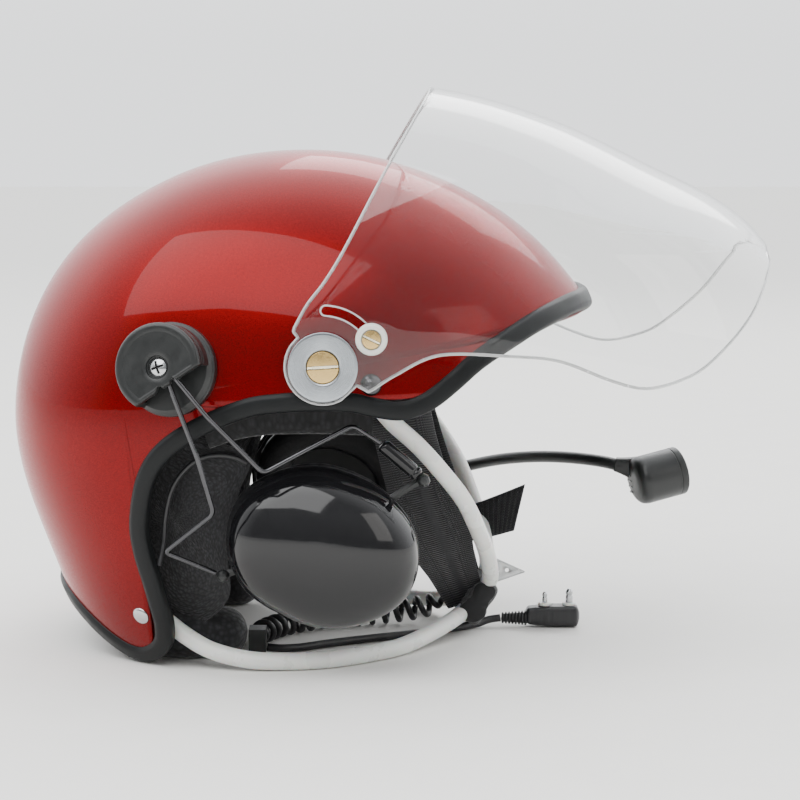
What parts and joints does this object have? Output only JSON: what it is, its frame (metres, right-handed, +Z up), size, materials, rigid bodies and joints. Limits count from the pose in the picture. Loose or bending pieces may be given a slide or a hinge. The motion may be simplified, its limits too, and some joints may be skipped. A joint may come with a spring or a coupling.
{
  "type": "hang glider helmet",
  "caption": "Open-face flying helmet with a lifting clear visor, sprung ear cups, a boom microphone, a tube chin guard and a curly radio lead.",
  "frame": {"origin": "middle of the box in X and Y, on the surface the helmet stands on, cords left out", "axes": "+X forward, the way the wearer looks; +Y to the wearer's left; +Z up as it stands"},
  "size_m": [0.3561, 0.266, 0.2637],
  "materials": {
    "shell_paint": "gloss candy red lacquer over a moulded shell",
    "trim_rubber": "satin",
    "liner_foam": "closed cell foam",
    "black_cloth": "knitted mesh",
    "clear_visor": "clear polycarbonate, glossy",
    "clear_tube": "translucent",
    "webbing": "woven",
    "cord_rubber": "satin",
    "gloss_black": "glossy",
    "black_plastic": "satin",
    "cushion_skin": "soft satin skin over foam",
    "steel": "bright",
    "aluminium": "brushed",
    "brass": "bright",
    "nylon": "satin"
  },
  "bodies": {
    "helmet": {"shell": "shell_paint", "edge_trim": "trim_rubber", "foam_liner": "liner_foam", "comfort_liner": "black_cloth", "neck_roll": "black_cloth", "chin_tube_upper": "clear_tube", "chin_tube_lower": "clear_tube", "chin_sleeve": "webbing", "strap_tail": "webbing", "coil_cord": "cord_rubber", "lead_cord": "cord_rubber", "cord_junction": "black_plastic", "strain_relief": "cord_rubber", "plug_body": "black_plastic", "pin_small": "steel", "pin_large": "steel", "cross_cable": "cord_rubber", "hub_post_right": "black_plastic", "hub_post_left": "black_plastic", "hub_disc_right": "aluminium", "hub_disc_left": "aluminium", "hub_screw_right": "brass", "hub_screw_left": "brass", "slide_knob_right": "nylon", "slide_knob_left": "nylon", "knob_screw_right": "brass", "knob_screw_left": "brass", "stop_stud_right": "steel", "stop_stud_left": "steel", "flap_rivet_right": "steel", "flap_rivet_left": "steel", "mount_base_right": "black_plastic", "mount_base_left": "black_plastic", "mount_cap_right": "black_plastic", "mount_cap_left": "black_plastic", "mount_screw_right": "steel", "mount_screw_left": "steel", "side_pad_right": "black_cloth", "side_pad_left": "black_cloth", "chin_strap_right": "webbing", "chin_strap_left": "webbing"},
    "visor": {"visor": "clear_visor"},
    "ear_arm_right": {"rear_wire_right": "steel", "front_wire_right": "steel", "wire_sleeve_right": "gloss_black"},
    "ear_cup_right": {"ear_cup_shell_right": "gloss_black", "ear_cup_plate_right": "black_plastic", "ear_cushion_right": "cushion_skin", "speaker_right": "black_plastic"},
    "ear_arm_left": {"rear_wire_left": "steel", "front_wire_left": "steel", "wire_sleeve_left": "gloss_black"},
    "ear_cup_left": {"ear_cup_shell_left": "gloss_black", "ear_cup_plate_left": "black_plastic", "ear_cushion_left": "cushion_skin", "speaker_left": "black_plastic"},
    "mic": {"mic_boom": "cord_rubber", "mic_capsule": "gloss_black", "mic_cap": "black_plastic"}
  },
  "joints": [
    {"name": "visor_lift", "type": "hinge", "parent": "helmet", "child": "visor", "pos_m": [-0.02715, 0, 0.1425], "axis": [0, 1, 0], "range_deg": [0, 42]},
    {"name": "ear_arm_swing_right", "type": "hinge", "parent": "helmet", "child": "ear_arm_right", "pos_m": [-0.08755, -0.125, 0.1335], "axis": [-1, 0, 0], "range_deg": [0, 25], "stiffness_Nm_per_rad": 1.2, "springref_deg": -5.73},
    {"name": "ear_cup_tilt_right", "type": "hinge", "parent": "ear_arm_right", "child": "ear_cup_right", "pos_m": [-0.07305, -0.099, 0.0455], "axis": [0.8962, -0.0597, 0.4396], "range_deg": [-6, 6]},
    {"name": "ear_arm_swing_left", "type": "hinge", "parent": "helmet", "child": "ear_arm_left", "pos_m": [-0.08755, 0.125, 0.1335], "axis": [1, 0, 0], "range_deg": [0, 25], "stiffness_Nm_per_rad": 1.2, "springref_deg": -5.73},
    {"name": "ear_cup_tilt_left", "type": "hinge", "parent": "ear_arm_left", "child": "ear_cup_left", "pos_m": [-0.07305, 0.099, 0.0455], "axis": [0.8962, 0.0597, 0.4396], "range_deg": [-6, 6]},
    {"name": "mic_swing", "type": "hinge", "parent": "ear_cup_left", "child": "mic", "pos_m": [0.02345, 0.102, 0.06], "axis": [0, -1, 0], "range_deg": [-15, 35]}
  ]
}
